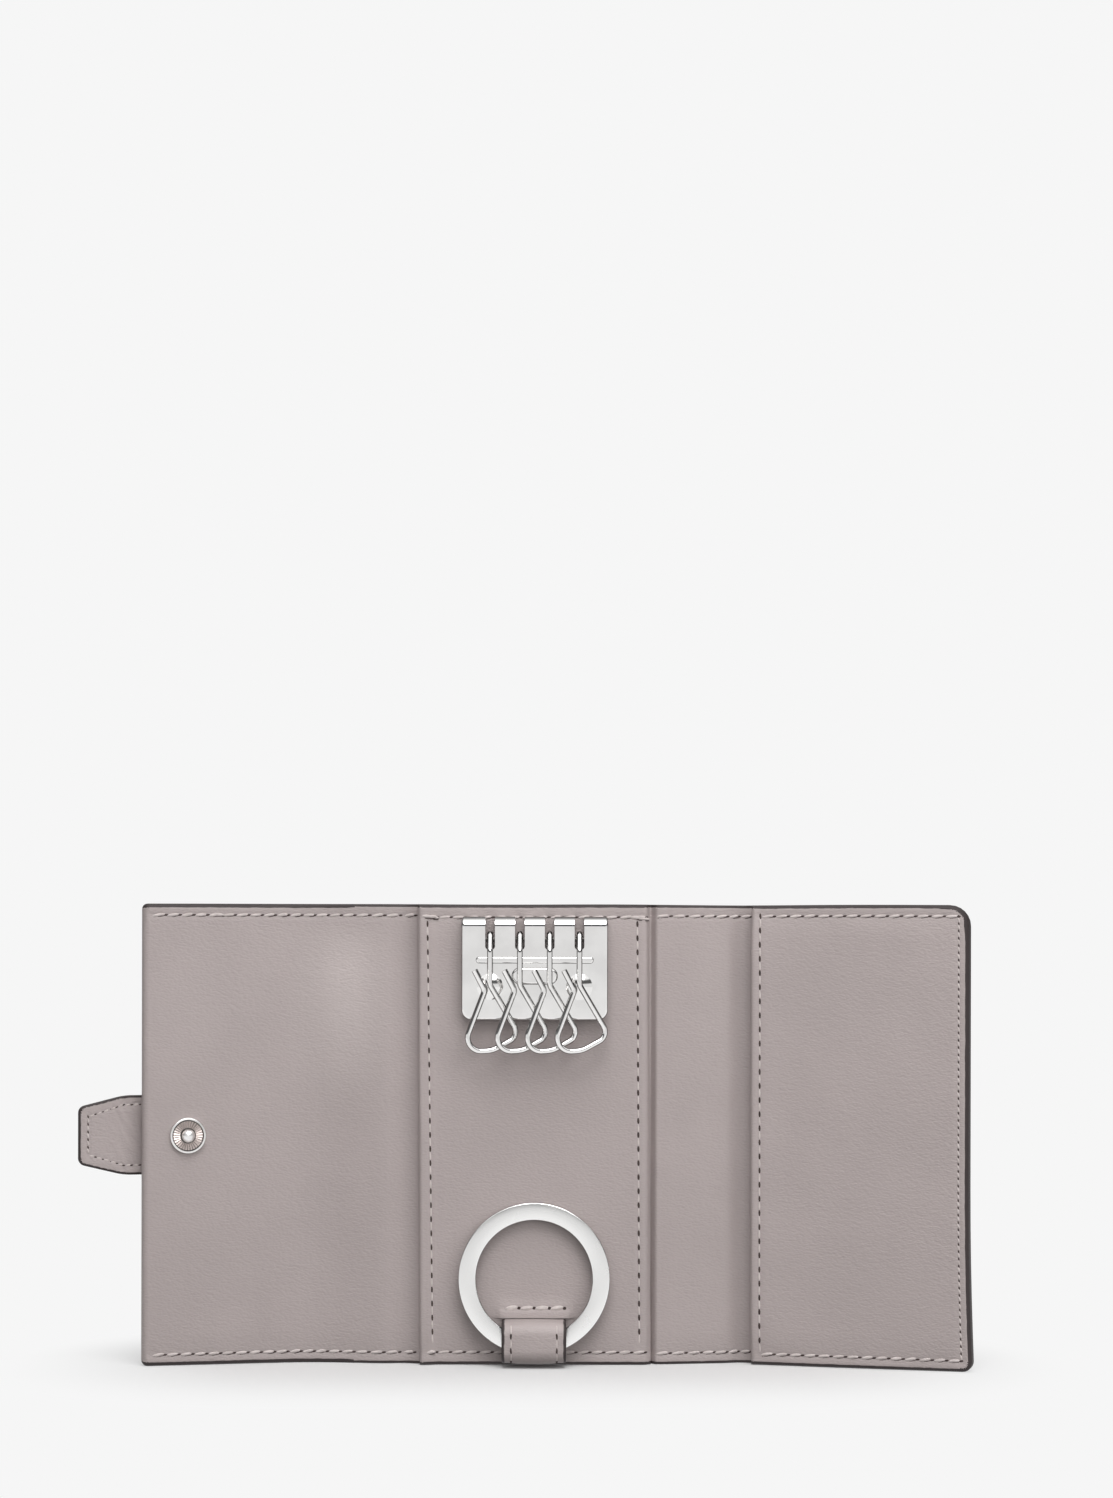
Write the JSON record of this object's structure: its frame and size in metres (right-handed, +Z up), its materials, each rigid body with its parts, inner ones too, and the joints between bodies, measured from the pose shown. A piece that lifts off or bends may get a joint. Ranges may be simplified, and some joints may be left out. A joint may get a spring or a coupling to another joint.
{
  "type": "key case",
  "caption": "Folding leather key case with a riveted key-hook plate, a split ring in a strap loop, a slip pocket and a snap-closed flap with a pull tab.",
  "frame": {"origin": "middle of the back panel's lower edge, in the middle of its outer leather, on the surface that the open case stands on", "axes": "+Z up along the folds, +X to the right as seen from the inside, inside of the case towards -Y"},
  "size_m": [0.1962, 0.0177, 0.102],
  "materials": {
    "taupe_leather": "smooth fine-grained taupe leather with dark brown painted edges",
    "stiffener_board": "thin grey fibreboard, hidden between the leathers",
    "polished_nickel": "bright polished nickel plating",
    "spring_steel": "bare spring wire"
  },
  "bodies": {
    "back_panel": {"back_cover": "taupe_leather", "back_board": "stiffener_board", "key_panel": "taupe_leather", "hook_plate": "polished_nickel", "pivot_rod": "polished_nickel", "plate_rivets": "polished_nickel", "ring_strap": "taupe_leather"},
    "left_spine": {"left_spine_cover": "taupe_leather", "left_spine_lining": "taupe_leather"},
    "flap": {"flap_cover": "taupe_leather", "flap_board": "stiffener_board", "flap_lining": "taupe_leather", "tab_outer": "taupe_leather", "tab_lining": "taupe_leather", "snap_stud": "polished_nickel", "stud_post": "polished_nickel"},
    "right_spine": {"right_spine_cover": "taupe_leather", "right_spine_lining": "taupe_leather"},
    "right_panel": {"right_cover": "taupe_leather", "right_board": "stiffener_board", "right_lining": "taupe_leather", "slip_pocket": "taupe_leather", "snap_socket": "polished_nickel", "socket_spring": "spring_steel", "socket_post": "polished_nickel"},
    "hook_1": {"key_hook_1": "polished_nickel"},
    "hook_2": {"key_hook_2": "polished_nickel"},
    "hook_3": {"key_hook_3": "polished_nickel"},
    "hook_4": {"key_hook_4": "polished_nickel"},
    "ring": {"split_ring": "polished_nickel"}
  },
  "joints": [
    {"name": "left_inner_fold", "type": "hinge", "parent": "back_panel", "child": "left_spine", "pos_m": [-0.02765, 0, 0], "axis": [0, 0, 1], "range_deg": [-12, 98]},
    {"name": "left_outer_fold", "type": "hinge", "parent": "left_spine", "child": "flap", "pos_m": [-0.05275, 0.00353, 0], "axis": [0, 0, 1], "range_deg": [-31, 69]},
    {"name": "right_inner_fold", "type": "hinge", "parent": "back_panel", "child": "right_spine", "pos_m": [0.02765, 0, 0], "axis": [0, 0, -1], "range_deg": [-11, 99]},
    {"name": "right_outer_fold", "type": "hinge", "parent": "right_spine", "child": "right_panel", "pos_m": [0.04602, 0.00291, 0], "axis": [0, 0, -1], "range_deg": [-34, 66]},
    {"name": "hook_1_swing", "type": "hinge", "parent": "back_panel", "child": "hook_1", "pos_m": [-0.00985, -0.00465, 0.0943], "axis": [1, 0, 0], "range_deg": [-150, 0]},
    {"name": "hook_2_swing", "type": "hinge", "parent": "back_panel", "child": "hook_2", "pos_m": [-0.00329, -0.00465, 0.0943], "axis": [1, 0, 0], "range_deg": [-150, 0]},
    {"name": "hook_3_swing", "type": "hinge", "parent": "back_panel", "child": "hook_3", "pos_m": [0.00329, -0.00465, 0.0943], "axis": [1, 0, 0], "range_deg": [-150, 0]},
    {"name": "hook_4_swing", "type": "hinge", "parent": "back_panel", "child": "hook_4", "pos_m": [0.00985, -0.00465, 0.0943], "axis": [1, 0, 0], "range_deg": [-150, 0]},
    {"name": "ring_swing", "type": "hinge", "parent": "back_panel", "child": "ring", "pos_m": [0, -0.00573, 0.00566], "axis": [-1, 0, 0], "range_deg": [-150, 0]}
  ],
  "couplings": [
    {"joint": "hook_2_swing", "follows": "hook_1_swing", "ratio": 1},
    {"joint": "hook_3_swing", "follows": "hook_1_swing", "ratio": 1},
    {"joint": "hook_4_swing", "follows": "hook_1_swing", "ratio": 1}
  ]
}
